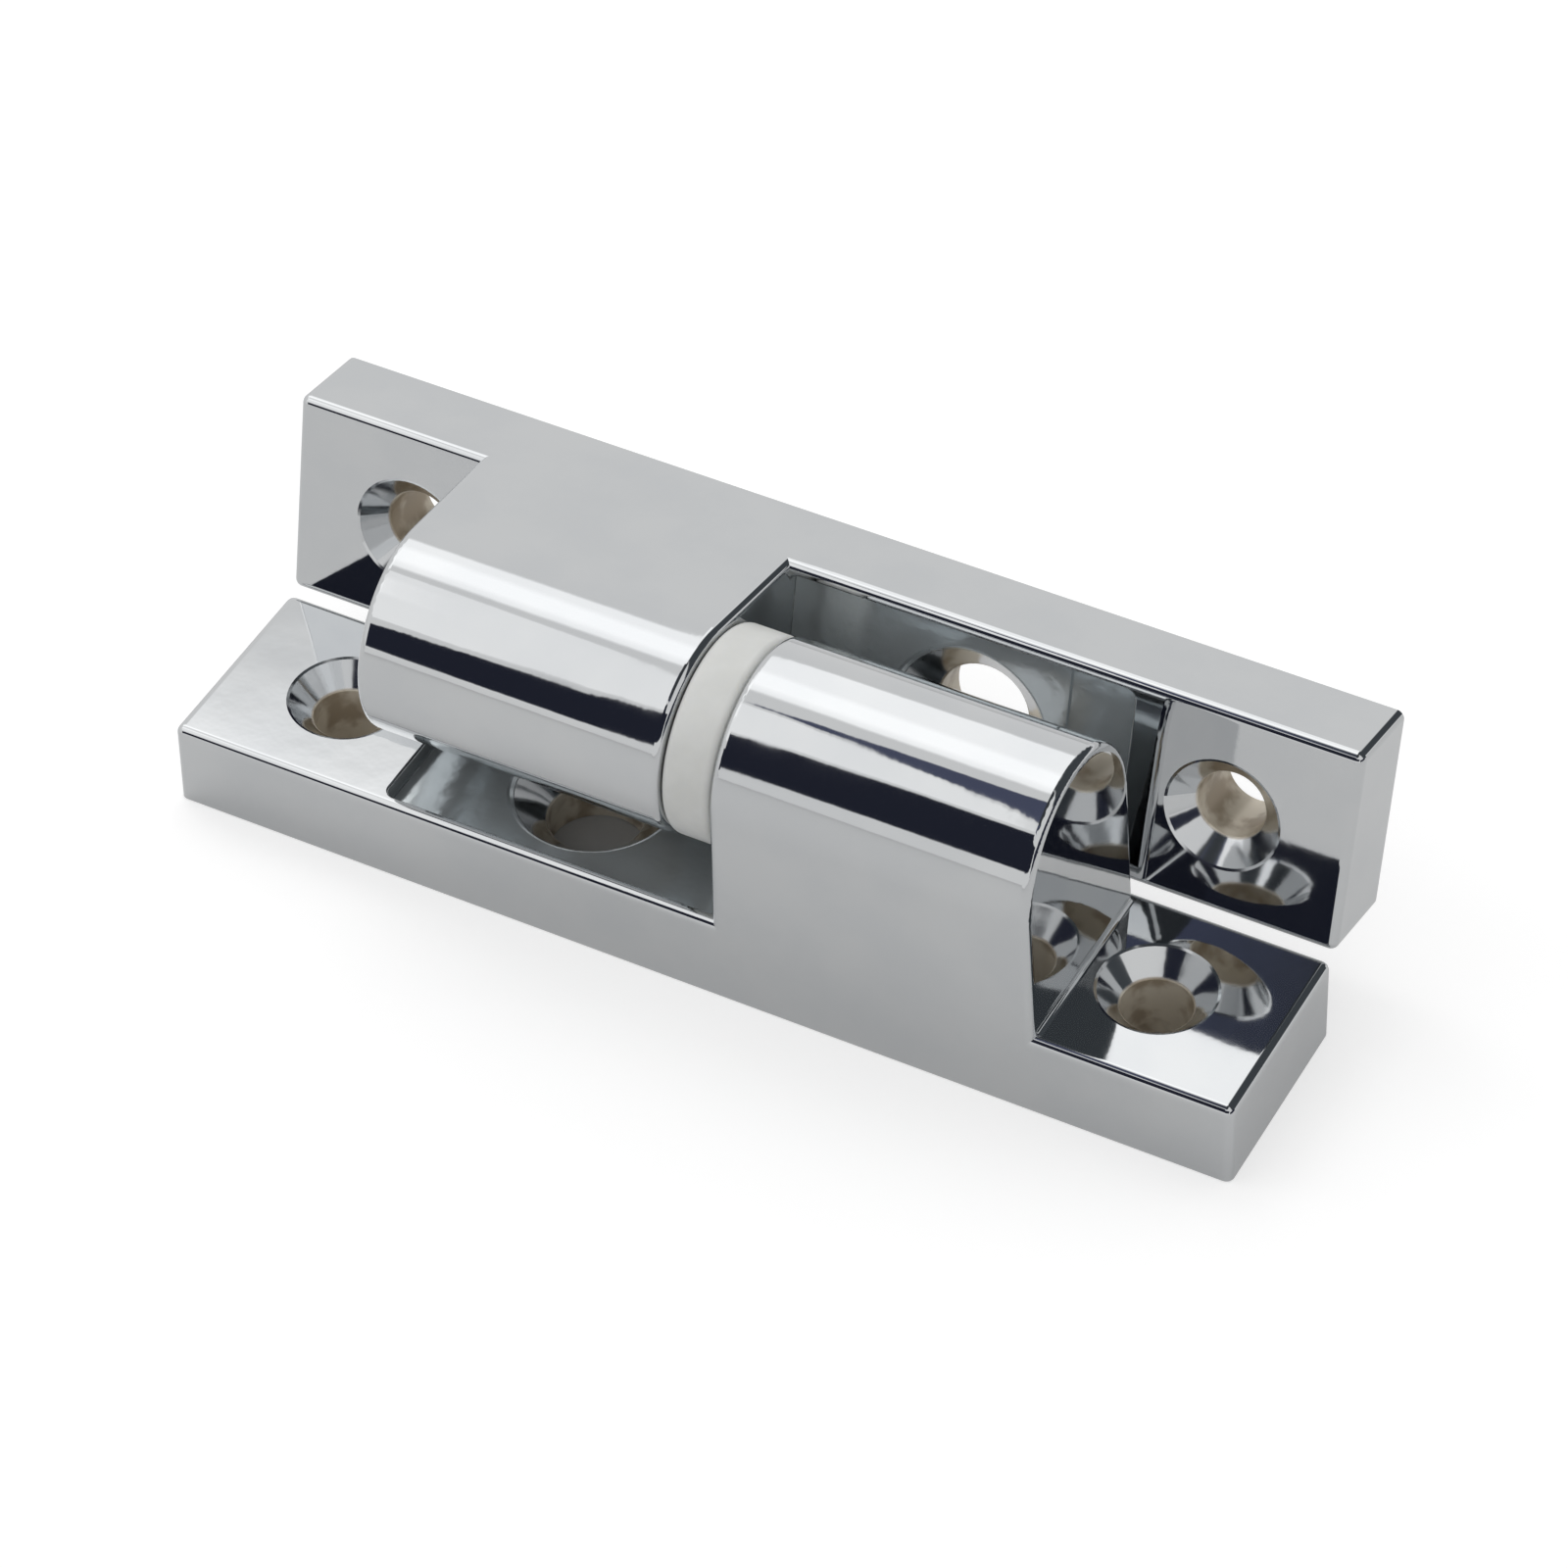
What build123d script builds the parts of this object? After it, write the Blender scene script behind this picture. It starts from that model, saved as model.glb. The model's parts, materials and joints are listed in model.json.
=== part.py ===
from build123d import *
import os
from math import atan2, cos, degrees, hypot, radians, sin, tan

# Surface-mounted enclosure door hinge, in millimetres.
# Two identical zinc castings turn on a hidden steel pin, with a plastic ring between their knuckles.
# X runs along the hinge axis, Y across the frame leaf towards the door leaf, Z up from the mounting face.
# The origin lies on the frame leaf's mounting face, midway between its two outer holes.

# Plate of each leaf
LEAF_LENGTH = 108.0
LEAF_THICKNESS = 8.9
REAR_LEDGE = 0.5
END_DRAFT = 0.8
CORNER_RADIUS = 0.8
EDGE_RADIUS = 0.85

# Web and knuckle
KNUCKLE_RADIUS = 10.2
KNUCKLE_CLEARANCE = 3.3
END_BLOCK = 19.35
WEB_DRAFT = 3.0
KNUCKLE_EDGE_RADIUS = 0.8
ROOT_RADIUS = 0.5

# Pocket in the plate, under the other leaf's knuckle
POCKET_END = 22.0
POCKET_RIM = 1.2
POCKET_DEPTH = 1.5
POCKET_CORNER_RADIUS = 1.0
POCKET_EDGE_RADIUS = 0.25
LAND_LENGTH = 6.8
LAND_STEP = 0.35

# Screw holes
HOLE_SETBACK = 10.7
OUTER_HOLE_INSET = 12.4
OUTER_HOLE_DIAMETER = 6.6
OUTER_HEAD_DIAMETER = 11.0
MIDDLE_HOLE_FROM_LAND = 9.4
MIDDLE_HOLE_SETBACK = 11.5
MIDDLE_HOLE_DIAMETER = 9.0
MIDDLE_HEAD_DIAMETER = 15.8
HEAD_ANGLE = 90.0
HOLE_EDGE_CHAMFER = 0.15

# Pin
PIN_DIAMETER = 10.0
PIN_CHAMFER = 0.7
PIN_RUNNING_CLEARANCE = 0.04
PIN_END_CLEARANCE = 1.0
KNUCKLE_END_WALL = 6.2
BORE_CHAMFER = 0.4

# Ring between the knuckles
RING_THICKNESS = 4.9
RING_PLAY = 0.1
RING_STEP = 0.25
RING_BORE_CLEARANCE = 0.1
RING_EDGE_CHAMFER = 0.5

# Arc between the leaves' facing edges when the door leaf has fallen back
REST_EDGE_GAP = 0.56

# Sizes that follow from the ones above
HALF_LENGTH = LEAF_LENGTH / 2
LEAF_WIDTH = 2 * KNUCKLE_RADIUS + REAR_LEDGE
AXIS_HEIGHT = LEAF_THICKNESS + KNUCKLE_CLEARANCE + KNUCKLE_RADIUS
KNUCKLE_START = (RING_THICKNESS + RING_PLAY) / 2
KNUCKLE_LENGTH = HALF_LENGTH - END_BLOCK - KNUCKLE_START
BORE_DEPTH = KNUCKLE_LENGTH - KNUCKLE_END_WALL
PIN_LENGTH = 2 * (KNUCKLE_START + BORE_DEPTH - PIN_END_CLEARANCE)

# Heights and edges in a leaf's own frame, whose origin is on the hinge axis at half its length
FACE_Z = -AXIS_HEIGHT
TOP_Z = FACE_Z + LEAF_THICKNESS
FRONT_Y = -KNUCKLE_RADIUS
REAR_Y = FRONT_Y + LEAF_WIDTH

# The leaves' facing edges lie on one circle about the axis and set how far the door leaf falls back
EDGE_CIRCLE = hypot(REAR_Y, TOP_Z)
STOP_ANGLE = degrees(atan2(-TOP_Z, REAR_Y) - atan2(REAR_Y, -TOP_Z))
LEAN_BACK = STOP_ANGLE - degrees(REST_EDGE_GAP / EDGE_CIRCLE)

# How a cylinder or cone stands on its own origin, and how near counts as the same height
UPWARD = (Align.CENTER, Align.CENTER, Align.MIN)
DOWNWARD = (Align.CENTER, Align.CENTER, Align.MAX)
NEAR = 0.01


def block(x, y, z):
    """A box between two corners, given as (low, high) along each axis."""
    size = [high - low for low, high in (x, y, z)]
    return Pos(x[0], y[0], z[0]) * Box(*size, align=(Align.MIN, Align.MIN, Align.MIN))


def level_edges(shape, z):
    """The edges of a shape whose middles lie at one height."""
    return shape.edges().filter_by(lambda edge: abs(edge.center().Z - z) < NEAR)


def plate():
    """The flat bar of a leaf, with ends that lean in for the mould, rounded at its corners and top."""
    bar = block((-HALF_LENGTH, HALF_LENGTH), (FRONT_Y, REAR_Y), (FACE_Z, TOP_Z))
    bar = draft(bar.faces().filter_by(Axis.X), Plane.XY.offset(FACE_Z), END_DRAFT)
    uprights = bar.edges().filter_by(lambda edge: FACE_Z + NEAR < edge.center().Z < TOP_Z - NEAR)
    bar = fillet(uprights, CORNER_RADIUS)
    return fillet(level_edges(bar, TOP_Z), EDGE_RADIUS)


def pocket():
    """The recess beside the web, open at the rear, with a sunk land at its far end."""
    wall_x = -HALF_LENGTH + POCKET_END
    floor_z = TOP_Z - POCKET_DEPTH
    across = (FRONT_Y + POCKET_RIM, REAR_Y + POCKET_RIM)
    floor = block((wall_x, KNUCKLE_START), across, (floor_z, TOP_Z))
    land = block((wall_x, wall_x + LAND_LENGTH), across, (floor_z - LAND_STEP, TOP_Z))
    recess = floor + land
    front_uprights = recess.edges().filter_by(Axis.Z).group_by(Axis.Y)[0].sort_by(Axis.X)
    return fillet([front_uprights[0], front_uprights[-1]], POCKET_CORNER_RADIUS)


def pocket_rim(bar):
    """The top edges of the pocket's front and end walls."""
    low_x = -HALF_LENGTH + POCKET_END - NEAR
    high_x = KNUCKLE_START + NEAR
    low_y = FRONT_Y + EDGE_RADIUS + NEAR
    inside = block((low_x, high_x), (low_y, REAR_Y), (FACE_Z, TOP_Z + NEAR))
    return level_edges(bar, TOP_Z).filter_by(lambda edge: inside.is_inside(edge.center()))


def web_and_knuckle():
    """The arched web that carries the knuckle, from the mounting face up, its outer end leaning in."""
    front, rear = -KNUCKLE_RADIUS, KNUCKLE_RADIUS
    sides = Polyline((front, 0), (front, FACE_Z), (rear, FACE_Z), (rear, 0))
    profile = make_face(sides + CenterArc((0, 0), KNUCKLE_RADIUS, 0, 180))
    web = extrude(Plane.YZ.offset(KNUCKLE_START) * profile, KNUCKLE_LENGTH)
    web = draft(web.faces().sort_by(Axis.X)[-1], Plane.XY.offset(TOP_Z), WEB_DRAFT)
    for end in (0, -1):
        rim = web.faces().sort_by(Axis.X)[end].edges().sort_by(Axis.Z)[1:]
        web = fillet(rim, KNUCKLE_EDGE_RADIUS)
    return web


def root_bead():
    """The small fillet along the foot of the web's outer end, where it stands on the plate."""
    lean = radians(WEB_DRAFT)
    reach = ROOT_RADIUS * tan(radians(45) - lean / 2)
    corner = Vector(KNUCKLE_START + KNUCKLE_LENGTH, TOP_Z)
    on_plate = corner + Vector(reach, 0)
    on_web = corner + Vector(-reach * sin(lean), reach * cos(lean))
    centre = on_plate + Vector(0, ROOT_RADIUS)
    hollow = centre + (corner - centre).normalized() * ROOT_RADIUS
    profile = make_face(Polyline(on_plate, corner, on_web) + ThreePointArc(on_web, hollow, on_plate))
    return extrude(Plane.XZ * profile, KNUCKLE_RADIUS - KNUCKLE_EDGE_RADIUS, both=True)


def screw_hole(x, y, top_z, diameter, head_diameter):
    """A through hole with a conical seat for a flat head."""
    cone_depth = (head_diameter - diameter) / 2 / tan(radians(HEAD_ANGLE / 2))
    shank = Pos(x, y, FACE_Z) * Cylinder(diameter / 2, top_z - FACE_Z, align=UPWARD)
    cone = Pos(x, y, top_z) * Cone(diameter / 2, head_diameter / 2, cone_depth, align=DOWNWARD)
    return shank + cone


def pin_bore(diameter):
    """The blind bore for the pin, from the knuckle's inner face, with a chamfered mouth."""
    bore = Cylinder(diameter / 2, BORE_DEPTH, align=UPWARD)
    lead_in = Cone(diameter / 2 + BORE_CHAMFER, diameter / 2, BORE_CHAMFER, align=UPWARD)
    return Pos(KNUCKLE_START, 0, 0) * Rot(Y=90) * (bore + lead_in)


def drilled_bar():
    """The plate with its pocket and screw holes, their edges broken."""
    outer_x = HALF_LENGTH - OUTER_HOLE_INSET
    middle_x = -HALF_LENGTH + POCKET_END + LAND_LENGTH + MIDDLE_HOLE_FROM_LAND
    outer_y = FRONT_Y + HOLE_SETBACK
    middle_y = FRONT_Y + MIDDLE_HOLE_SETBACK
    floor_z = TOP_Z - POCKET_DEPTH
    bar = plate() - pocket()
    bar = fillet(pocket_rim(bar), POCKET_EDGE_RADIUS)
    bar -= screw_hole(outer_x, outer_y, TOP_Z, OUTER_HOLE_DIAMETER, OUTER_HEAD_DIAMETER)
    bar -= screw_hole(-outer_x, outer_y, TOP_Z, OUTER_HOLE_DIAMETER, OUTER_HEAD_DIAMETER)
    bar -= screw_hole(middle_x, middle_y, floor_z, MIDDLE_HOLE_DIAMETER, MIDDLE_HEAD_DIAMETER)
    rings = level_edges(bar, TOP_Z) + level_edges(bar, floor_z)
    head_rims = [edge for edge in rings if edge.is_closed]
    return chamfer(head_rims, HOLE_EDGE_CHAMFER)


def leaf(bore_diameter):
    """One casting, in its own frame, with the pin bore blind from its inner face."""
    casting = drilled_bar() + web_and_knuckle() + root_bead()
    return casting - pin_bore(bore_diameter)


def hinge_pin():
    """The plain dowel, pressed into the frame leaf and free to turn in the door leaf."""
    pin = Rot(Y=90) * Cylinder(PIN_DIAMETER / 2, PIN_LENGTH)
    return chamfer(pin.edges().filter_by(GeomType.CIRCLE), PIN_CHAMFER)


def spacer_washer():
    """The plastic ring on the pin, seated on the frame leaf's knuckle."""
    ring = Cylinder(KNUCKLE_RADIUS - RING_STEP, RING_THICKNESS, align=DOWNWARD)
    ring = chamfer(ring.edges().filter_by(GeomType.CIRCLE), RING_EDGE_CHAMFER)
    ring -= Cylinder(PIN_DIAMETER / 2 + RING_BORE_CLEARANCE, RING_THICKNESS, align=DOWNWARD)
    return Pos(KNUCKLE_START, 0, 0) * Rot(Y=90) * ring


axis = Pos(0, KNUCKLE_RADIUS - HOLE_SETBACK, AXIS_HEIGHT)
half_turn = Rot(X=90 - LEAN_BACK) * Rot(Z=180)
pieces = {
    "frame_leaf": axis * leaf(PIN_DIAMETER),
    "door_leaf": axis * half_turn * leaf(PIN_DIAMETER + 2 * PIN_RUNNING_CLEARANCE),
    "hinge_pin": axis * hinge_pin(),
    "spacer_washer": axis * spacer_washer(),
}

os.makedirs("parts", exist_ok=True)
for name, piece in pieces.items():
    export_step(piece, f"parts/{name}.step")
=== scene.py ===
import json
from math import cos, pi, radians, sin

import bpy
from mathutils import Matrix, Vector


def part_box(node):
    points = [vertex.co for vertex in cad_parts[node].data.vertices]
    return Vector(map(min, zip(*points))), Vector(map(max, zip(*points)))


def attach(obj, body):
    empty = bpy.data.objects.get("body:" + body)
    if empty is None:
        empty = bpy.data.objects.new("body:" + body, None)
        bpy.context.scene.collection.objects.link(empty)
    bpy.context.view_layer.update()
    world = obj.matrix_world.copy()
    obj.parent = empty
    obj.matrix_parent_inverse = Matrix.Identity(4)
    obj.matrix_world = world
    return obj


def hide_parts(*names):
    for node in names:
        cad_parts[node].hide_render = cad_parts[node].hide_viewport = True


MM = 0.001

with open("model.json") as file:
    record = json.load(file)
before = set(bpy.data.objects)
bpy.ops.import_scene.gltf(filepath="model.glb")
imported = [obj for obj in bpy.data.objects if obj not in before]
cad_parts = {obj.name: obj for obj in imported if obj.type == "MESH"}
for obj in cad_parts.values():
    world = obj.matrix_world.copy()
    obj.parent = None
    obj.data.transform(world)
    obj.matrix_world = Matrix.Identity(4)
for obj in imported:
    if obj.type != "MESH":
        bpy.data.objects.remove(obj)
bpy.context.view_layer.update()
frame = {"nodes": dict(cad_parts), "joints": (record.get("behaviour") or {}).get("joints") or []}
scene = bpy.context.scene
nodes = frame["nodes"]

# The hinge axis runs along X through this point, in metres
door_swing = next(joint for joint in frame["joints"] if joint["name"] == "door_swing")
AXIS_POINT = Vector(door_swing["pos_m"])

# How far past upright the door leaf stands at rest, in degrees
LEAN_BACK = 11.337

# Screw holes in millimetres, in a leaf's own frame on the hinge axis: the middle of each, and the radii
# of its bore and its countersunk seat
END_HOLE = {"x": 41.6, "y": 0.5, "bore": 3.3, "seat": 5.5}
FAR_END_HOLE = {**END_HOLE, "x": -END_HOLE["x"]}
MIDDLE_HOLE = {"x": -15.8, "y": 1.3, "bore": 4.5, "seat": 7.9}
SCREW_HOLES = (END_HOLE, FAR_END_HOLE, MIDDLE_HOLE)
HOLE_FADE = 0.25

# Pocket in millimetres, in the same frame: its middle and half length, its front wall and its floor
POCKET_MIDDLE_X = -14.75
POCKET_HALF_X = 17.2
POCKET_FRONT_Y = -8.95
POCKET_FLOOR_Z = -15.17
POCKET_FLOOR_REACH = 0.25

# Plastic ring, its lengths in metres
RING_BORE_RADIUS = 5.1 * MM
RING_ROUNDING = 0.75 * MM
RING_SECTORS = 144
RIM_STEPS = 6
SHARP_ANGLE = 40

# Chrome on polished zinc, thin and stained in the bores, duller on the unpolished pocket floor, whose
# lighter, cooler colour is painted light
CHROME_LIGHT = (0.628, 0.640, 0.648, 1)
CHROME_DEEP = (0.606, 0.620, 0.632, 1)
THIN_PLATING = (0.74, 0.68, 0.57, 1)
BARE_ZINC = (0.42, 0.35, 0.26, 1)
# Pocket floor colour: lighter and cooler than the chrome, which is painted light; the floor's satin finish is
# its own
AS_CAST_AND_PAINTED_LIGHT = (0.72, 0.77, 0.79, 1)
POLISHED_ROUGHNESS = (0.035, 0.06)
POCKET_ROUGHNESS = 0.11
SEAT_ROUGHNESS = 0.06
BORE_ROUGHNESS = 0.27
POCKET_DULLNESS = 0.3
BORE_DULLNESS = 0.8
STAIN_SCALE = 0.3
GRAIN_SCALE = 0.45
GRAIN_HEIGHT = 0.05

# Ivory plastic
IVORY_LIGHT = (0.706, 0.714, 0.697, 1)
IVORY_DEEP = (0.664, 0.672, 0.652, 1)
IVORY_ROUGHNESS = (0.36, 0.46)
IVORY_GLOW = 0.15
IVORY_GLOW_DEPTH = (0.8, 0.7, 0.5)
IVORY_IOR = 1.48

# Ground steel
STEEL_DARK = (0.50, 0.50, 0.50, 1)
STEEL_LIGHT = (0.60, 0.60, 0.59, 1)
STEEL_ROUGHNESS = (0.22, 0.34)
MARKS_STRETCH = (12.0, 0.6, 0.6)
MARKS_HEIGHT = 0.004

# Floor and surround: how much of their white metal sees, how strong the surround is as light, and how much
# of its white the floor has from the light on it
SURROUND_IN_METAL = 0.84
FLOOR_IN_METAL = 0.66
SURROUND_AS_LIGHT = 0.72
FLOOR_GREY = (0.55, 0.55, 0.55, 1)
FLOOR_OWN_LIGHT = 0.46
FLOOR_HALF_WIDTH = 8.0
FLOOR_DROP = 0.0001
CONTACT_WIDTH = 0.001

# Studio sheets: how far they hang from the hinge axis, in metres, and their colours
REACH = 0.7
LAMP_REACH = 0.55
WHITE = (1.0, 1.0, 1.0, 1)
NAVY = (0.55, 0.62, 1.0, 1)
SLATE = (0.80, 0.90, 1.0, 1)

# Camera: angles in degrees, places and lens in millimetres
CAMERA_TURN = -28.759
CAMERA_HEIGHT = 43.823
CAMERA_ROLL = -1.277
CAMERA_AIM = Vector((0.0, 5.5, 16.2))
CAMERA_DISTANCE = 576.09
CAMERA_ACROSS = 1.338
CAMERA_DOWN = 3.626
CAMERA_LENS = 146.45
CAMERA_SENSOR = 36.0


# Node helpers

def new_material(name):
    """A material with only an output node in its tree."""
    material = bpy.data.materials.new(name)
    material.use_nodes = True
    tree = material.node_tree
    tree.nodes.clear()
    return material, tree, tree.nodes.new("ShaderNodeOutputMaterial")


def new_group(name, inputs, outputs):
    """An empty shader group with the named sockets, and its input and output nodes."""
    group = bpy.data.node_groups.new(name, "ShaderNodeTree")
    for label, kind, default in inputs:
        socket = group.interface.new_socket(label, in_out="INPUT", socket_type=kind)
        if default is not None:
            socket.default_value = default
    for label, kind in outputs:
        group.interface.new_socket(label, in_out="OUTPUT", socket_type=kind)
    return group, group.nodes.new("NodeGroupInput"), group.nodes.new("NodeGroupOutput")


def place_group(tree, group, **values):
    """A group node in a tree, with its plain input values set by socket name."""
    node = tree.nodes.new("ShaderNodeGroup")
    node.node_tree = group
    for label, value in values.items():
        node.inputs[label.replace("_", " ")].default_value = value
    return node


def math_node(tree, operation, a, b=None, clamp=False):
    """A Math node whose inputs are sockets or numbers."""
    node = tree.nodes.new("ShaderNodeMath")
    node.operation = operation
    node.use_clamp = clamp
    for slot, value in enumerate((a, b)):
        if value is None:
            continue
        if isinstance(value, (int, float)):
            node.inputs[slot].default_value = value
        else:
            tree.links.new(value, node.inputs[slot])
    return node.outputs[0]


def map_range(tree, value, low, high, to_low=0.0, to_high=1.0):
    """Maps a socket smoothly from one span to another."""
    node = tree.nodes.new("ShaderNodeMapRange")
    node.interpolation_type = "SMOOTHSTEP"
    tree.links.new(value, node.inputs["Value"])
    for label, number in (("From Min", low), ("From Max", high), ("To Min", to_low), ("To Max", to_high)):
        node.inputs[label].default_value = number
    return node.outputs["Result"]


def noise(tree, vector, scale, detail=2.0):
    """Noise texture height at a point, with scale in features a millimetre."""
    node = tree.nodes.new("ShaderNodeTexNoise")
    node.inputs["Scale"].default_value = scale
    node.inputs["Detail"].default_value = detail
    tree.links.new(vector, node.inputs["Vector"])
    return node.outputs["Fac"]


def mix_colour(tree, factor, a, b):
    """A colour mix whose two ends are colours or sockets."""
    node = tree.nodes.new("ShaderNodeMix")
    node.data_type = "RGBA"
    tree.links.new(factor, node.inputs["Factor"])
    for index, value in ((6, a), (7, b)):
        if isinstance(value, tuple):
            node.inputs[index].default_value = value
        else:
            tree.links.new(value, node.inputs[index])
    return node.outputs[2]


def bump(tree, height):
    """A Bump node whose height is in millimetres."""
    node = tree.nodes.new("ShaderNodeBump")
    node.inputs["Distance"].default_value = MM
    tree.links.new(height, node.inputs["Height"])
    return node.outputs["Normal"]


def own_frame(tree, turn=None):
    """Object coordinates brought to millimetres in a piece's own frame on the hinge axis."""
    coords = tree.nodes.new("ShaderNodeTexCoord")
    mapping = tree.nodes.new("ShaderNodeMapping")
    mapping.vector_type = "TEXTURE"
    mapping.inputs["Location"].default_value = AXIS_POINT
    mapping.inputs["Scale"].default_value = (MM, MM, MM)
    if turn:
        mapping.inputs["Rotation"].default_value = turn
    tree.links.new(coords.outputs["Object"], mapping.inputs["Vector"])
    return mapping.outputs["Vector"]


# Effects that the materials share

def hole_mask_group():
    """One within a radius of a hole's middle, nought past it, from a point in leaf millimetres."""
    group, inside, outside = new_group(
        "hole_wall_mask",
        [("Point", "NodeSocketVector", None), ("Hole X", "NodeSocketFloat", 0.0),
         ("Hole Y", "NodeSocketFloat", 0.0), ("Radius", "NodeSocketFloat", 1.0),
         ("Fade", "NodeSocketFloat", 0.2)],
        [("Mask", "NodeSocketFloat")])
    split = group.nodes.new("ShaderNodeSeparateXYZ")
    group.links.new(inside.outputs["Point"], split.inputs[0])
    dx = math_node(group, "SUBTRACT", split.outputs["X"], inside.outputs["Hole X"])
    dy = math_node(group, "SUBTRACT", split.outputs["Y"], inside.outputs["Hole Y"])
    dx_squared = math_node(group, "MULTIPLY", dx, dx)
    dy_squared = math_node(group, "MULTIPLY", dy, dy)
    distance = math_node(group, "SQRT", math_node(group, "ADD", dx_squared, dy_squared))
    past = math_node(group, "SUBTRACT", distance, inside.outputs["Radius"])
    share = math_node(group, "DIVIDE", past, inside.outputs["Fade"])
    group.links.new(map_range(group, share, 0.1, 1.0, 1.0, 0.0), outside.inputs["Mask"])
    return group


def pocket_mask_group():
    """One on the pocket's floor and its land, nought elsewhere, from a point in leaf millimetres."""
    group, inside, outside = new_group(
        "pocket_floor_mask", [("Point", "NodeSocketVector", None)], [("Mask", "NodeSocketFloat")])
    split = group.nodes.new("ShaderNodeSeparateXYZ")
    group.links.new(inside.outputs["Point"], split.inputs[0])
    along = math_node(group, "SUBTRACT", split.outputs["X"], POCKET_MIDDLE_X)
    past_ends = math_node(group, "SUBTRACT", math_node(group, "ABSOLUTE", along), POCKET_HALF_X)
    past_front = math_node(group, "SUBTRACT", POCKET_FRONT_Y, split.outputs["Y"])
    above = math_node(group, "SUBTRACT", split.outputs["Z"], POCKET_FLOOR_Z)
    past_floor = math_node(group, "SUBTRACT", math_node(group, "ABSOLUTE", above), POCKET_FLOOR_REACH)
    past_walls = math_node(group, "MAXIMUM", past_ends, past_front)
    past = math_node(group, "MAXIMUM", past_walls, past_floor)
    group.links.new(map_range(group, past, -0.02, 0.08, 1.0, 0.0), outside.inputs["Mask"])
    return group


def surface_group():
    """Slow waves, fine skin and cloudy patches of a finished surface, from a point in millimetres."""
    group, inside, outside = new_group(
        "surface_skin",
        [("Point", "NodeSocketVector", None), ("Wave Scale", "NodeSocketFloat", 0.1),
         ("Wave Height", "NodeSocketFloat", 0.01), ("Skin Scale", "NodeSocketFloat", 2.0),
         ("Skin Height", "NodeSocketFloat", 0.001), ("Patch Scale", "NodeSocketFloat", 0.08)],
        [("Height", "NodeSocketFloat"), ("Patches", "NodeSocketFloat")])

    def layer(scale_name, detail):
        texture = group.nodes.new("ShaderNodeTexNoise")
        texture.inputs["Detail"].default_value = detail
        group.links.new(inside.outputs["Point"], texture.inputs["Vector"])
        group.links.new(inside.outputs[scale_name], texture.inputs["Scale"])
        return texture.outputs["Fac"]

    wave = math_node(group, "MULTIPLY", layer("Wave Scale", 1.0), inside.outputs["Wave Height"])
    skin = math_node(group, "MULTIPLY", layer("Skin Scale", 2.0), inside.outputs["Skin Height"])
    group.links.new(math_node(group, "ADD", wave, skin), outside.inputs["Height"])
    group.links.new(layer("Patch Scale", 4.0), outside.inputs["Patches"])
    return group


HOLE_MASK = hole_mask_group()
POCKET_MASK = pocket_mask_group()
SURFACE = surface_group()


# Materials

def inside_holes(tree, point, measure):
    """One in every screw hole of a leaf, as far out as its bore or its seat reaches."""
    together = 0.0
    for hole in SCREW_HOLES:
        mask = place_group(tree, HOLE_MASK, Hole_X=hole["x"], Hole_Y=hole["y"], Radius=hole[measure],
                           Fade=HOLE_FADE)
        tree.links.new(point, mask.inputs["Point"])
        together = math_node(tree, "MAXIMUM", mask.outputs["Mask"], together)
    return together


def chrome(name, turn):
    """Bright chrome over polished zinc, satin on the unpolished pocket floor and thin in the screw holes,
    with painted light in the pocket floor's lighter, cooler colour.
    """
    material, tree, output = new_material(name)
    point = own_frame(tree, turn)
    skin = place_group(tree, SURFACE, Wave_Scale=0.10, Wave_Height=0.035, Skin_Scale=0.5,
                       Skin_Height=0.004, Patch_Scale=0.12)
    tree.links.new(point, skin.inputs["Point"])
    pocket = place_group(tree, POCKET_MASK)
    tree.links.new(point, pocket.inputs["Point"])
    pocket_floor = pocket.outputs["Mask"]
    bores = inside_holes(tree, point, "bore")
    seats = inside_holes(tree, point, "seat")

    patches = map_range(tree, skin.outputs["Patches"], 0.35, 0.65)
    polished = mix_colour(tree, patches, CHROME_LIGHT, CHROME_DEEP)
    # Painted light: the pocket floor's colour is lighter and cooler than the polished chrome
    plating_and_painted_light = mix_colour(tree, pocket_floor, polished, AS_CAST_AND_PAINTED_LIGHT)
    stain = map_range(tree, noise(tree, point, STAIN_SCALE, 3.0), 0.42, 0.62)
    stained = mix_colour(tree, stain, THIN_PLATING, BARE_ZINC)
    colour = mix_colour(tree, bores, plating_and_painted_light, stained)

    polish = map_range(tree, patches, 0.0, 1.0, *POLISHED_ROUGHNESS)
    satin = math_node(tree, "MULTIPLY", pocket_floor, POCKET_ROUGHNESS)
    turned = math_node(tree, "MULTIPLY", seats, SEAT_ROUGHNESS)
    matte = math_node(tree, "MULTIPLY", bores, BORE_ROUGHNESS)
    rougher = math_node(tree, "MAXIMUM", math_node(tree, "MAXIMUM", satin, turned), matte)
    roughness = math_node(tree, "ADD", polish, rougher)

    dull_floor = math_node(tree, "MULTIPLY", pocket_floor, POCKET_DULLNESS)
    dull_bores = math_node(tree, "MULTIPLY", bores, BORE_DULLNESS)
    dull = math_node(tree, "MAXIMUM", dull_floor, dull_bores)

    grain = math_node(tree, "MULTIPLY", noise(tree, point, GRAIN_SCALE), GRAIN_HEIGHT)
    floor_grain = math_node(tree, "MULTIPLY", grain, pocket_floor)
    height = math_node(tree, "ADD", skin.outputs["Height"], floor_grain)

    shader = tree.nodes.new("ShaderNodeBsdfPrincipled")
    tree.links.new(math_node(tree, "SUBTRACT", 1.0, dull), shader.inputs["Metallic"])
    tree.links.new(colour, shader.inputs["Base Color"])
    tree.links.new(roughness, shader.inputs["Roughness"])
    tree.links.new(bump(tree, height), shader.inputs["Normal"])
    tree.links.new(shader.outputs[0], output.inputs["Surface"])
    return material


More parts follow.
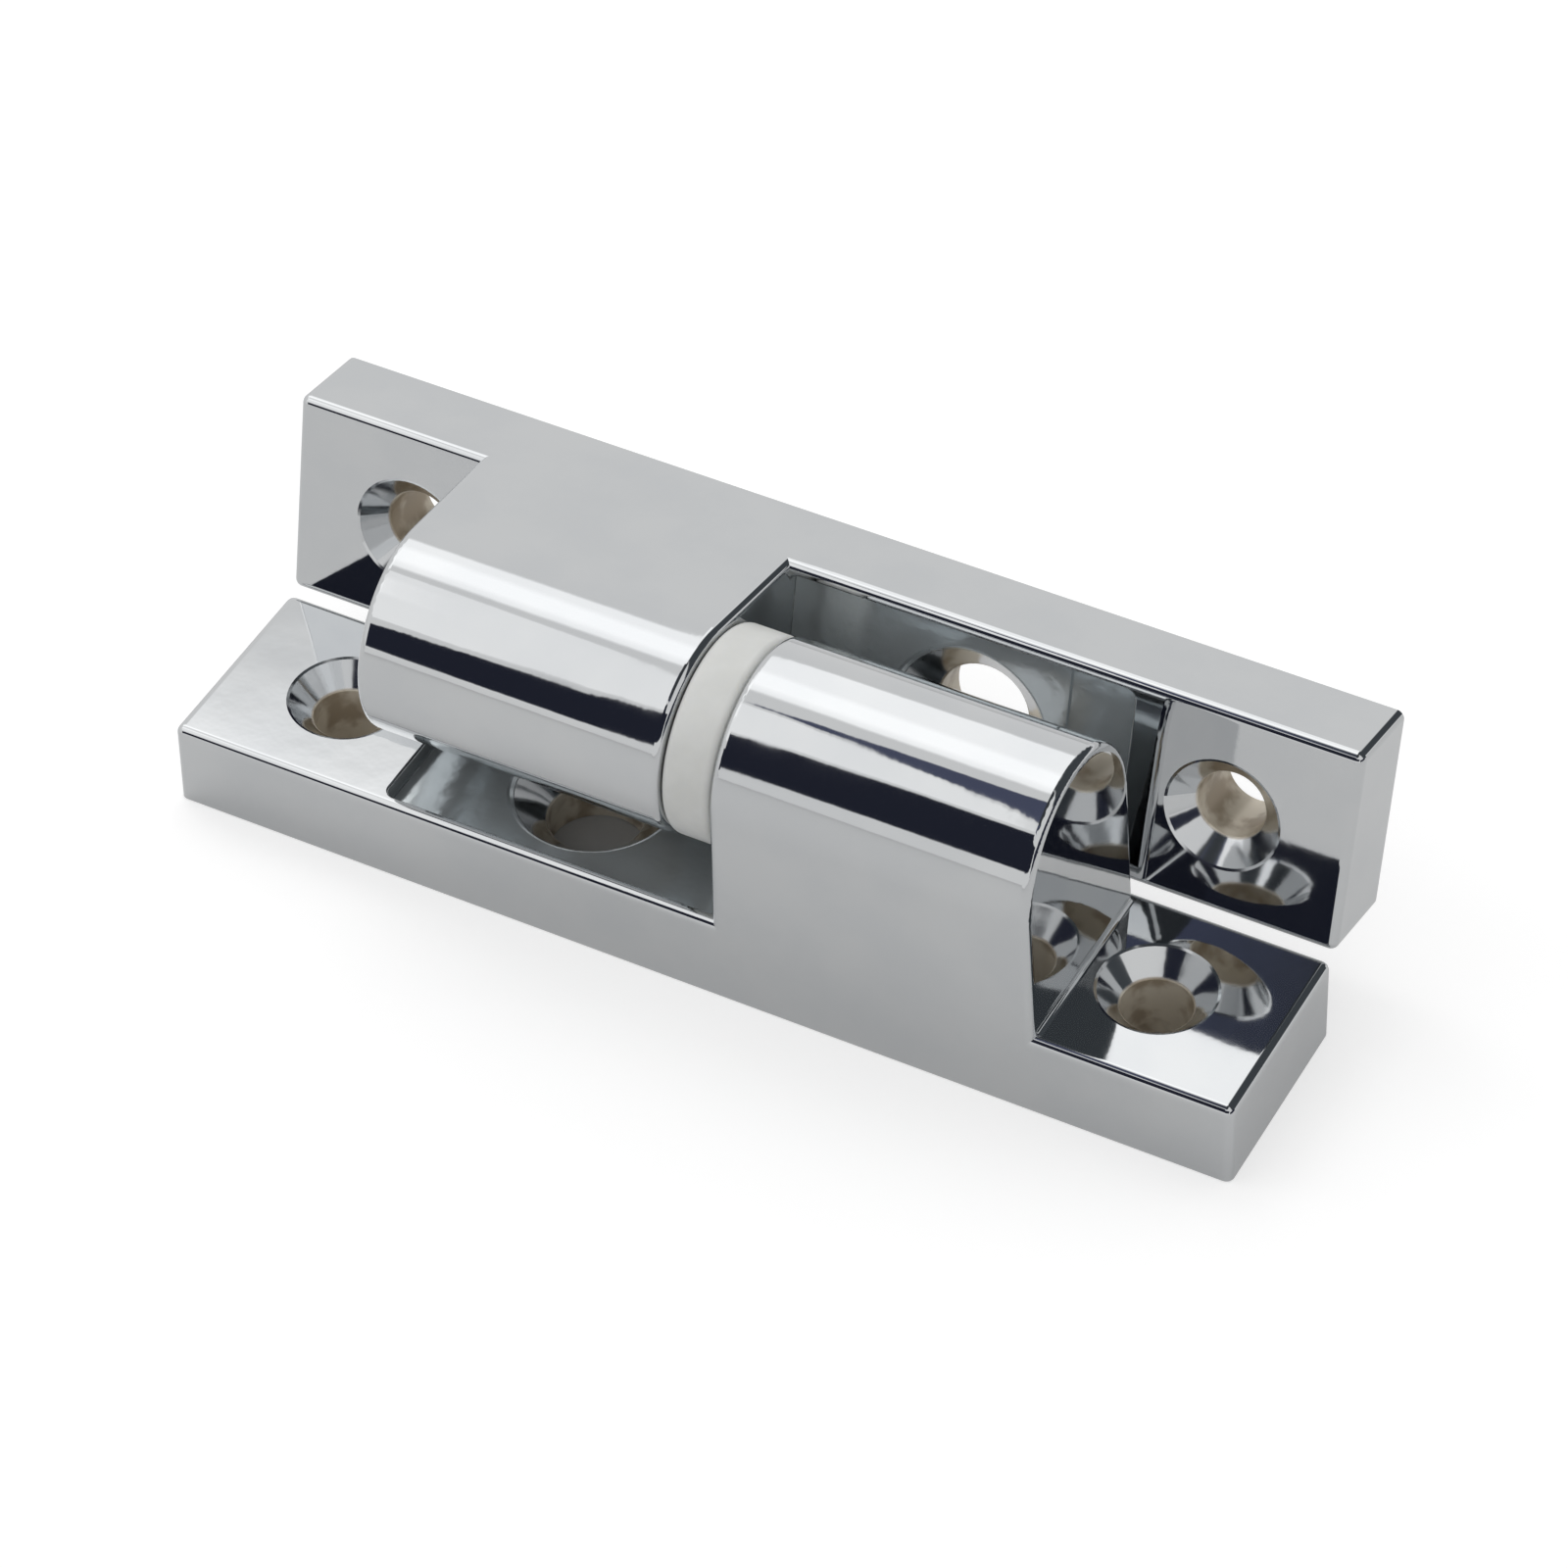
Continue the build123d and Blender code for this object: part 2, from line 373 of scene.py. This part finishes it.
def ivory_plastic():
    """Satin ivory plastic, faintly mottled, with the fine skin of a moulded ring."""
    material, tree, output = new_material("ivory_plastic_ring")
    point = own_frame(tree)
    skin = place_group(tree, SURFACE, Wave_Scale=0.25, Wave_Height=0.012, Skin_Scale=5.0,
                       Skin_Height=0.003, Patch_Scale=0.35)
    tree.links.new(point, skin.inputs["Point"])
    patches = map_range(tree, skin.outputs["Patches"], 0.3, 0.7)
    roughness = map_range(tree, patches, 0.0, 1.0, *IVORY_ROUGHNESS)
    shader = tree.nodes.new("ShaderNodeBsdfPrincipled")
    shader.inputs["Subsurface Weight"].default_value = IVORY_GLOW
    shader.inputs["Subsurface Radius"].default_value = IVORY_GLOW_DEPTH
    shader.inputs["Subsurface Scale"].default_value = MM
    shader.inputs["IOR"].default_value = IVORY_IOR
    tree.links.new(mix_colour(tree, patches, IVORY_LIGHT, IVORY_DEEP), shader.inputs["Base Color"])
    tree.links.new(roughness, shader.inputs["Roughness"])
    tree.links.new(bump(tree, skin.outputs["Height"]), shader.inputs["Normal"])
    tree.links.new(shader.outputs[0], output.inputs["Surface"])
    return material


def ground_steel():
    """A ground steel dowel, with fine marks round its axis."""
    material, tree, output = new_material("ground_steel_pin")
    point = own_frame(tree)
    stretch = tree.nodes.new("ShaderNodeMapping")
    stretch.inputs["Scale"].default_value = MARKS_STRETCH
    tree.links.new(point, stretch.inputs["Vector"])
    marks = noise(tree, stretch.outputs[0], 1.0, 3.0)
    skin = place_group(tree, SURFACE, Wave_Scale=0.2, Wave_Height=0.004, Skin_Scale=4.0,
                       Skin_Height=0.001, Patch_Scale=0.2)
    tree.links.new(point, skin.inputs["Point"])
    raised = math_node(tree, "MULTIPLY", marks, MARKS_HEIGHT)
    height = math_node(tree, "ADD", skin.outputs["Height"], raised)
    roughness = map_range(tree, marks, 0.3, 0.7, *STEEL_ROUGHNESS)
    shader = tree.nodes.new("ShaderNodeBsdfPrincipled")
    shader.inputs["Metallic"].default_value = 1.0
    tree.links.new(mix_colour(tree, marks, STEEL_DARK, STEEL_LIGHT), shader.inputs["Base Color"])
    tree.links.new(roughness, shader.inputs["Roughness"])
    tree.links.new(bump(tree, height), shader.inputs["Normal"])
    tree.links.new(shader.outputs[0], output.inputs["Surface"])
    return material


# Pieces

def dress(node_name, material):
    """Gives a CAD node one finish in each of its slots."""
    for slot in nodes[node_name].material_slots:
        slot.material = material


def ring_profile(low_x, high_x, radius):
    """Half the ring's section as points of (x, radius), from its bore over both rounded rims and back."""
    profile = [(low_x, RING_BORE_RADIUS)]
    for centre_x, start in ((low_x + RING_ROUNDING, 180), (high_x - RING_ROUNDING, 90)):
        for step in range(RIM_STEPS + 1):
            turn = radians(start - 90 * step / RIM_STEPS)
            profile.append((centre_x + RING_ROUNDING * cos(turn), radius - RING_ROUNDING * (1 - sin(turn))))
    profile.append((high_x, RING_BORE_RADIUS))
    return profile


def rounded_ring(material):
    """The plastic ring with rounded rims, turned about the hinge axis, in place of the chamfered solid."""
    low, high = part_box("spacer_washer")
    profile = ring_profile(low.x, high.x, (high.z - low.z) / 2)
    count = len(profile)
    vertices, faces = [], []
    for sector in range(RING_SECTORS):
        turn = 2 * pi * sector / RING_SECTORS
        for x, radius in profile:
            vertices.append(AXIS_POINT + Vector((x, radius * cos(turn), radius * sin(turn))))
        here, ahead = sector * count, (sector + 1) % RING_SECTORS * count
        for step in range(count):
            after = (step + 1) % count
            faces.append((here + step, ahead + step, ahead + after, here + after))
    mesh = bpy.data.meshes.new("rounded_ring")
    mesh.from_pydata(vertices, [], faces)
    mesh.shade_smooth()
    mesh.set_sharp_from_angle(angle=radians(SHARP_ANGLE))
    mesh.materials.append(material)
    ring = bpy.data.objects.new("rounded_ring", mesh)
    scene.collection.objects.link(ring)
    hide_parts("spacer_washer")
    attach(ring, "frame")


dress("frame_leaf", chrome("chrome_frame_leaf", None))
dress("door_leaf", chrome("chrome_door_leaf", (-radians(90 - LEAN_BACK), 0.0, pi)))
rounded_ring(ivory_plastic())
dress("hinge_pin", ground_steel())


# Camera, surround and floor

def make_camera():
    """The photograph's view, held by its angles, roll and distance from a point on the part."""
    turn, height, roll = radians(CAMERA_TURN), radians(CAMERA_HEIGHT), radians(CAMERA_ROLL)
    forward = Vector((sin(turn) * cos(height), cos(turn) * cos(height), -sin(height)))
    level = Vector((cos(turn), -sin(turn), 0.0))
    upright = level.cross(forward)
    right = level * cos(roll) + upright * sin(roll)
    up = upright * cos(roll) - level * sin(roll)
    eye = CAMERA_AIM + CAMERA_ACROSS * right - CAMERA_DOWN * up - CAMERA_DISTANCE * forward
    data = bpy.data.cameras.new("camera")
    data.lens = CAMERA_LENS
    data.sensor_width = CAMERA_SENSOR
    data.clip_start = 0.01
    data.clip_end = 50.0
    camera = bpy.data.objects.new("camera", data)
    scene.collection.objects.link(camera)
    facing = Matrix((right, up, -forward)).transposed().to_4x4()
    camera.matrix_world = Matrix.Translation(eye * MM) @ facing
    scene.camera = camera


def pale_ray_strength(tree, in_metal):
    """One for camera rays and a share of it for glossy and transmission rays, which see the stage's white."""
    path = tree.nodes.new("ShaderNodeLightPath")
    through = math_node(tree, "MAXIMUM", path.outputs["Is Glossy Ray"], path.outputs["Is Transmission Ray"])
    return math_node(tree, "MAXIMUM", path.outputs["Is Camera Ray"],
                     math_node(tree, "MULTIPLY", through, in_metal))


def make_world():
    """An even white surround: full white where it is seen, a little lower as light."""
    world = bpy.data.worlds.new("studio_surround")
    scene.world = world
    world.use_nodes = True
    tree = world.node_tree
    background = tree.nodes["Background"]
    background.inputs["Color"].default_value = WHITE
    strength = math_node(tree, "MAXIMUM", pale_ray_strength(tree, SURROUND_IN_METAL), SURROUND_AS_LIGHT)
    tree.links.new(strength, background.inputs["Strength"])


def clear_of_part(tree):
    """Nought under the frame leaf and one beside it, so that the leaf's screw holes show no glow."""
    low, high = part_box("frame_leaf")
    coords = tree.nodes.new("ShaderNodeTexCoord")
    split = tree.nodes.new("ShaderNodeSeparateXYZ")
    tree.links.new(coords.outputs["Object"], split.inputs[0])
    across = math_node(tree, "SUBTRACT", split.outputs["Y"], (low.y + high.y) / 2)
    past_end = math_node(tree, "SUBTRACT", math_node(tree, "ABSOLUTE", split.outputs["X"]), high.x)
    past_side = math_node(tree, "SUBTRACT", math_node(tree, "ABSOLUTE", across), (high.y - low.y) / 2)
    return map_range(tree, math_node(tree, "MAXIMUM", past_end, past_side), -CONTACT_WIDTH, 0.0)


def make_floor():
    """A wide pale floor just under the mounting face, white to the eye and to metal, keeping the shadow."""
    half = FLOOR_HALF_WIDTH
    corners = [(-half, -half), (half, -half), (half, half), (-half, half)]
    mesh = bpy.data.meshes.new("floor")
    mesh.from_pydata([(x, y, -FLOOR_DROP) for x, y in corners], [], [(0, 1, 2, 3)])
    floor = bpy.data.objects.new("floor", mesh)
    scene.collection.objects.link(floor)
    material, tree, output = new_material("pale_floor")
    diffuse = tree.nodes.new("ShaderNodeBsdfDiffuse")
    diffuse.inputs["Color"].default_value = FLOOR_GREY
    glow = tree.nodes.new("ShaderNodeEmission")
    white = pale_ray_strength(tree, FLOOR_IN_METAL)
    lift = math_node(tree, "SUBTRACT", white, FLOOR_OWN_LIGHT, clamp=True)
    tree.links.new(math_node(tree, "MULTIPLY", lift, clear_of_part(tree)), glow.inputs["Strength"])
    add = tree.nodes.new("ShaderNodeAddShader")
    tree.links.new(diffuse.outputs[0], add.inputs[0])
    tree.links.new(glow.outputs[0], add.inputs[1])
    tree.links.new(add.outputs[0], output.inputs["Surface"])
    mesh.materials.append(material)


# Studio sheets

def around(x, turn, reach):
    """A point on a drum about the hinge axis: turn is 0 in front, 90 overhead and 180 at the rear."""
    y = AXIS_POINT.y - reach * cos(radians(turn))
    z = AXIS_POINT.z + reach * sin(radians(turn))
    return Vector((x, y, z))


def sheet_material(name, length, colour, strength, end_fade, edge_fade):
    """A glow that fades to clear at its ends and edges, from a UV map of the distance in metres to each."""
    material, tree, output = new_material(name)
    coords = tree.nodes.new("ShaderNodeTexCoord")
    split = tree.nodes.new("ShaderNodeSeparateXYZ")
    tree.links.new(coords.outputs["UV"], split.inputs[0])
    from_far_end = math_node(tree, "SUBTRACT", length, split.outputs["X"])
    near_end = math_node(tree, "MINIMUM", split.outputs["X"], from_far_end)
    ends = map_range(tree, near_end, 0.0, end_fade)
    edges = map_range(tree, split.outputs["Y"], 0.0, edge_fade)
    clear = tree.nodes.new("ShaderNodeBsdfTransparent")
    glow = tree.nodes.new("ShaderNodeEmission")
    glow.inputs["Color"].default_value = colour
    glow.inputs["Strength"].default_value = strength
    mix = tree.nodes.new("ShaderNodeMixShader")
    tree.links.new(math_node(tree, "MULTIPLY", ends, edges), mix.inputs[0])
    tree.links.new(clear.outputs[0], mix.inputs[1])
    tree.links.new(glow.outputs[0], mix.inputs[2])
    tree.links.new(mix.outputs[0], output.inputs["Surface"])
    return material


def sheet(name, low, high, colour, strength, end_fade, edge_fade, lights):
    """A studio sheet between a low and a high edge, given as rows of points, its borders fading in metres.

    The camera doesn't see it. A light sheet lights the part, and a dark one is seen in the metal alone.
    """
    vertices, spans = [], []
    along = [0.0]
    for before, after in zip(low, low[1:]):
        along.append(along[-1] + (after - before).length)
    for share, depth in ((0.0, 0.0), (0.5, 0.5), (1.0, 0.0)):
        for start, end, distance in zip(low, high, along):
            vertices.append(start.lerp(end, share))
            spans.append((distance, depth * (end - start).length))
    count = len(low)
    faces = [(row + i, row + i + 1, row + count + i + 1, row + count + i)
             for row in (0, count) for i in range(count - 1)]
    mesh = bpy.data.meshes.new(name)
    mesh.from_pydata(vertices, [], faces)
    layer = mesh.uv_layers.new(name="span")
    for loop in mesh.loops:
        layer.data[loop.index].uv = spans[loop.vertex_index]
    mesh.materials.append(sheet_material(name, along[-1], colour, strength, end_fade, edge_fade))
    thing = bpy.data.objects.new(name, mesh)
    scene.collection.objects.link(thing)
    thing.visible_camera = False
    thing.visible_shadow = False
    thing.visible_diffuse = lights


def drum_sheet(name, stations, colour, strength, end_fade, edge_fade, lights, reach=REACH):
    """A sheet whose edges follow stations of (x, low turn, high turn) round the hinge axis."""
    low = [around(x, start, reach) for x, start, end in stations]
    high = [around(x, end, reach) for x, start, end in stations]
    sheet(name, low, high, colour, strength, end_fade, edge_fade, lights)


def hang_lights():
    """The white sheets above and behind, which light the part and show as the knuckles' bright bands."""
    drum_sheet("rear_softbox",
               [(-0.90, 93, 132), (-0.33, 93, 134), (-0.27, 93, 135), (-0.245, 94, 150),
                (-0.20, 94, 152), (0.02, 94, 153)],
               WHITE, 1.34, end_fade=0.07, edge_fade=0.05, lights=True)
    drum_sheet("rear_lamp", [(-0.64, 97, 124), (0.04, 97, 124)],
               WHITE, 1.52, end_fade=0.08, edge_fade=0.08, lights=True, reach=LAMP_REACH)
    drum_sheet("top_softbox",
               [(-0.90, 37, 90), (-0.324, 37, 89), (-0.283, 43, 87), (-0.262, 47, 80),
                (-0.242, 51, 79), (-0.211, 53, 73), (-0.18, 54, 60)],
               WHITE, 1.14, end_fade=0.02, edge_fade=0.02, lights=True)
    drum_sheet("top_lamp", [(-0.70, 61, 83), (-0.255, 61, 83)],
               WHITE, 1.34, end_fade=0.04, edge_fade=0.05, lights=True, reach=LAMP_REACH)


def hang_flags():
    """The dark sheets, which give the metal its dark bands and light nothing."""
    drum_sheet("top_gap_flag",
               [(-0.264, 81.0, 82.2), (-0.242, 79.2, 84.8), (-0.237, 79.0, 85.0), (-0.223, 74.5, 86.0),
                (-0.211, 72.5, 86.0), (-0.201, 69.5, 86.0), (-0.18, 60, 88), (0.12, 52, 90)],
               NAVY, 0.15, end_fade=0.01, edge_fade=0.018, lights=False)
    drum_sheet("front_flag",
               [(-0.50, 6, 30), (-0.36, 6, 31), (-0.341, 6, 32), (-0.324, 6, 34.5), (-0.295, 6.5, 37),
                (-0.283, 7, 41), (-0.249, 12, 49.5), (-0.211, 13, 52.5), (0.0, 14, 52.5),
                (0.15, 14.5, 44), (0.60, 16, 44)],
               NAVY, 0.035, end_fade=0.008, edge_fade=0.02, lights=False)
    drum_sheet("overhead_flag", [(-0.16, 56, 100), (0.22, 56, 100)],
               SLATE, 0.06, end_fade=0.05, edge_fade=0.03, lights=False)
    drum_sheet("rear_flag", [(-0.05, 98, 175), (1.20, 98, 172)],
               SLATE, 0.08, end_fade=0.06, edge_fade=0.05, lights=False)
    sheet("right_flag",
          [Vector((0.95, -0.75, 0.04)), Vector((0.95, 0.50, 0.04))],
          [Vector((0.95, -0.75, 0.50)), Vector((0.95, 0.50, 0.50))],
          NAVY, 0.05, end_fade=0.10, edge_fade=0.06, lights=False)


make_camera()
make_world()
make_floor()
hang_lights()
hang_flags()

scene.view_settings.view_transform = "Standard"
